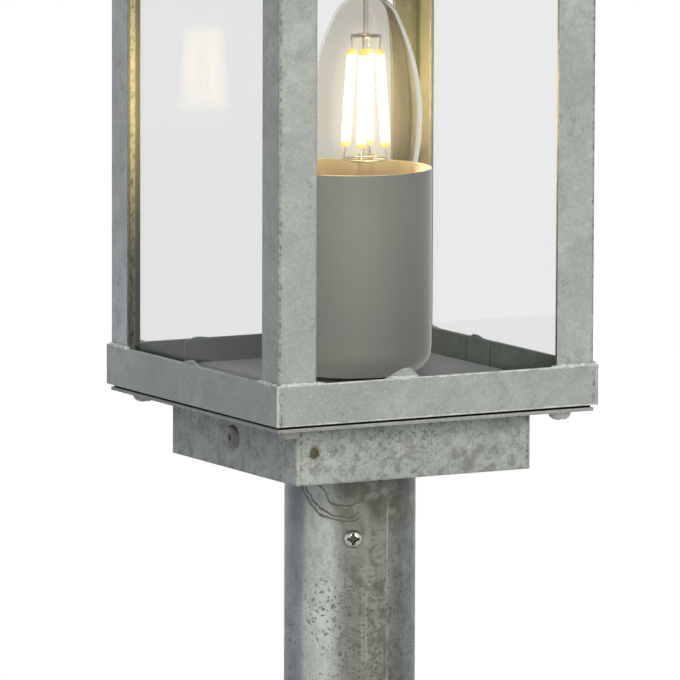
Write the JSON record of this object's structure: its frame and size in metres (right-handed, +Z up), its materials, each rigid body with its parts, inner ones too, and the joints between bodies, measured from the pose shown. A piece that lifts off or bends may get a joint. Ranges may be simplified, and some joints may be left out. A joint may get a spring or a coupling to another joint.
{
  "type": "pedestal light",
  "caption": "Garden pedestal light: square glazed lantern of galvanised steel with a lit candle bulb in a grey cup, on a junction box and round post with a square foot.",
  "frame": {"origin": "middle of the underside of the square foot plate", "axes": "+Z up along the post; -Y out of the lantern's wide front face, which the picture shows on the right; -X out of the face that it shows on the left"},
  "size_m": [0.12, 0.12, 0.5],
  "materials": {
    "galvanised": "hot-dip galvanised, dull grey with spangle and stains",
    "plated_screw": "zinc plated",
    "grey_paint": "matt grey paint",
    "black_rubber": "matt",
    "holder_ceramic": "unglazed",
    "brass": "bright",
    "white_plastic": "matt",
    "brown_lead": "insulated lead",
    "blue_lead": "insulated lead",
    "green_lead": "insulated lead",
    "pane_glass": "clear float glass",
    "bulb_glass": "clear blown glass",
    "filament_glow": "lit phosphor coating",
    "bulb_wire": "nickel wire",
    "bulb_metal": "nickel plated",
    "black_insulator": "black glass"
  },
  "bodies": {
    "base": {"base_gasket": "black_rubber", "cable_grommet": "black_rubber", "centre_contact": "brass", "corner_screws": "plated_screw", "earth_lead": "green_lead", "earth_screw": "plated_screw", "floor_pan": "grey_paint", "foot_plate": "galvanised", "junction_cover": "galvanised", "lamp_cup": "grey_paint", "lampholder_body": "holder_ceramic", "lampholder_shell": "brass", "live_lead": "brown_lead", "mounting_plate": "galvanised", "neutral_lead": "blue_lead", "nipple_nuts": "brass", "nipple_spacer": "plated_screw", "post_screws": "plated_screw", "post_spigot": "galvanised", "post_tube": "galvanised", "side_screws": "plated_screw", "terminal_block": "white_plastic", "terminal_screws": "plated_screw", "threaded_nipple": "brass", "top_bracket": "galvanised"},
    "lantern": {"corner_post_back_left": "galvanised", "corner_post_back_right": "galvanised", "corner_post_front_left": "galvanised", "corner_post_front_right": "galvanised", "corner_tabs": "galvanised", "glass_pane_back": "pane_glass", "glass_pane_front": "pane_glass", "glass_pane_left": "pane_glass", "glass_pane_right": "pane_glass", "lower_glass_clips": "galvanised", "lower_rail_back": "galvanised", "lower_rail_front": "galvanised", "lower_rail_left": "galvanised", "lower_rail_right": "galvanised", "roof_cap": "galvanised", "upper_glass_clips": "galvanised", "upper_rail_back": "galvanised", "upper_rail_front": "galvanised", "upper_rail_left": "galvanised", "upper_rail_right": "galvanised"},
    "bulb_foot": {"foot_contact": "bulb_metal"},
    "bulb": {"bulb_cap": "bulb_metal", "bulb_envelope": "bulb_glass", "bulb_stem": "bulb_glass", "cap_insulator": "black_insulator", "filament_wires": "bulb_wire", "filaments": "filament_glow"}
  },
  "joints": [
    {"name": "lantern_lift", "type": "slide", "parent": "base", "child": "lantern", "axis": [0, 0, 1], "range_m": [0, 0.16]},
    {"name": "bulb_rise", "type": "slide", "parent": "base", "child": "bulb_foot", "axis": [0, 0, 1], "range_m": [0, 0.0148]},
    {"name": "bulb_turn", "type": "hinge", "parent": "bulb_foot", "child": "bulb", "pos_m": [0.0046, 0, 0.33], "axis": [0, 0, 1], "range_deg": [0, 1440]}
  ],
  "couplings": [
    {"joint": "bulb_rise", "follows": "bulb_turn", "m_per_rad": 0.00057757}
  ]
}
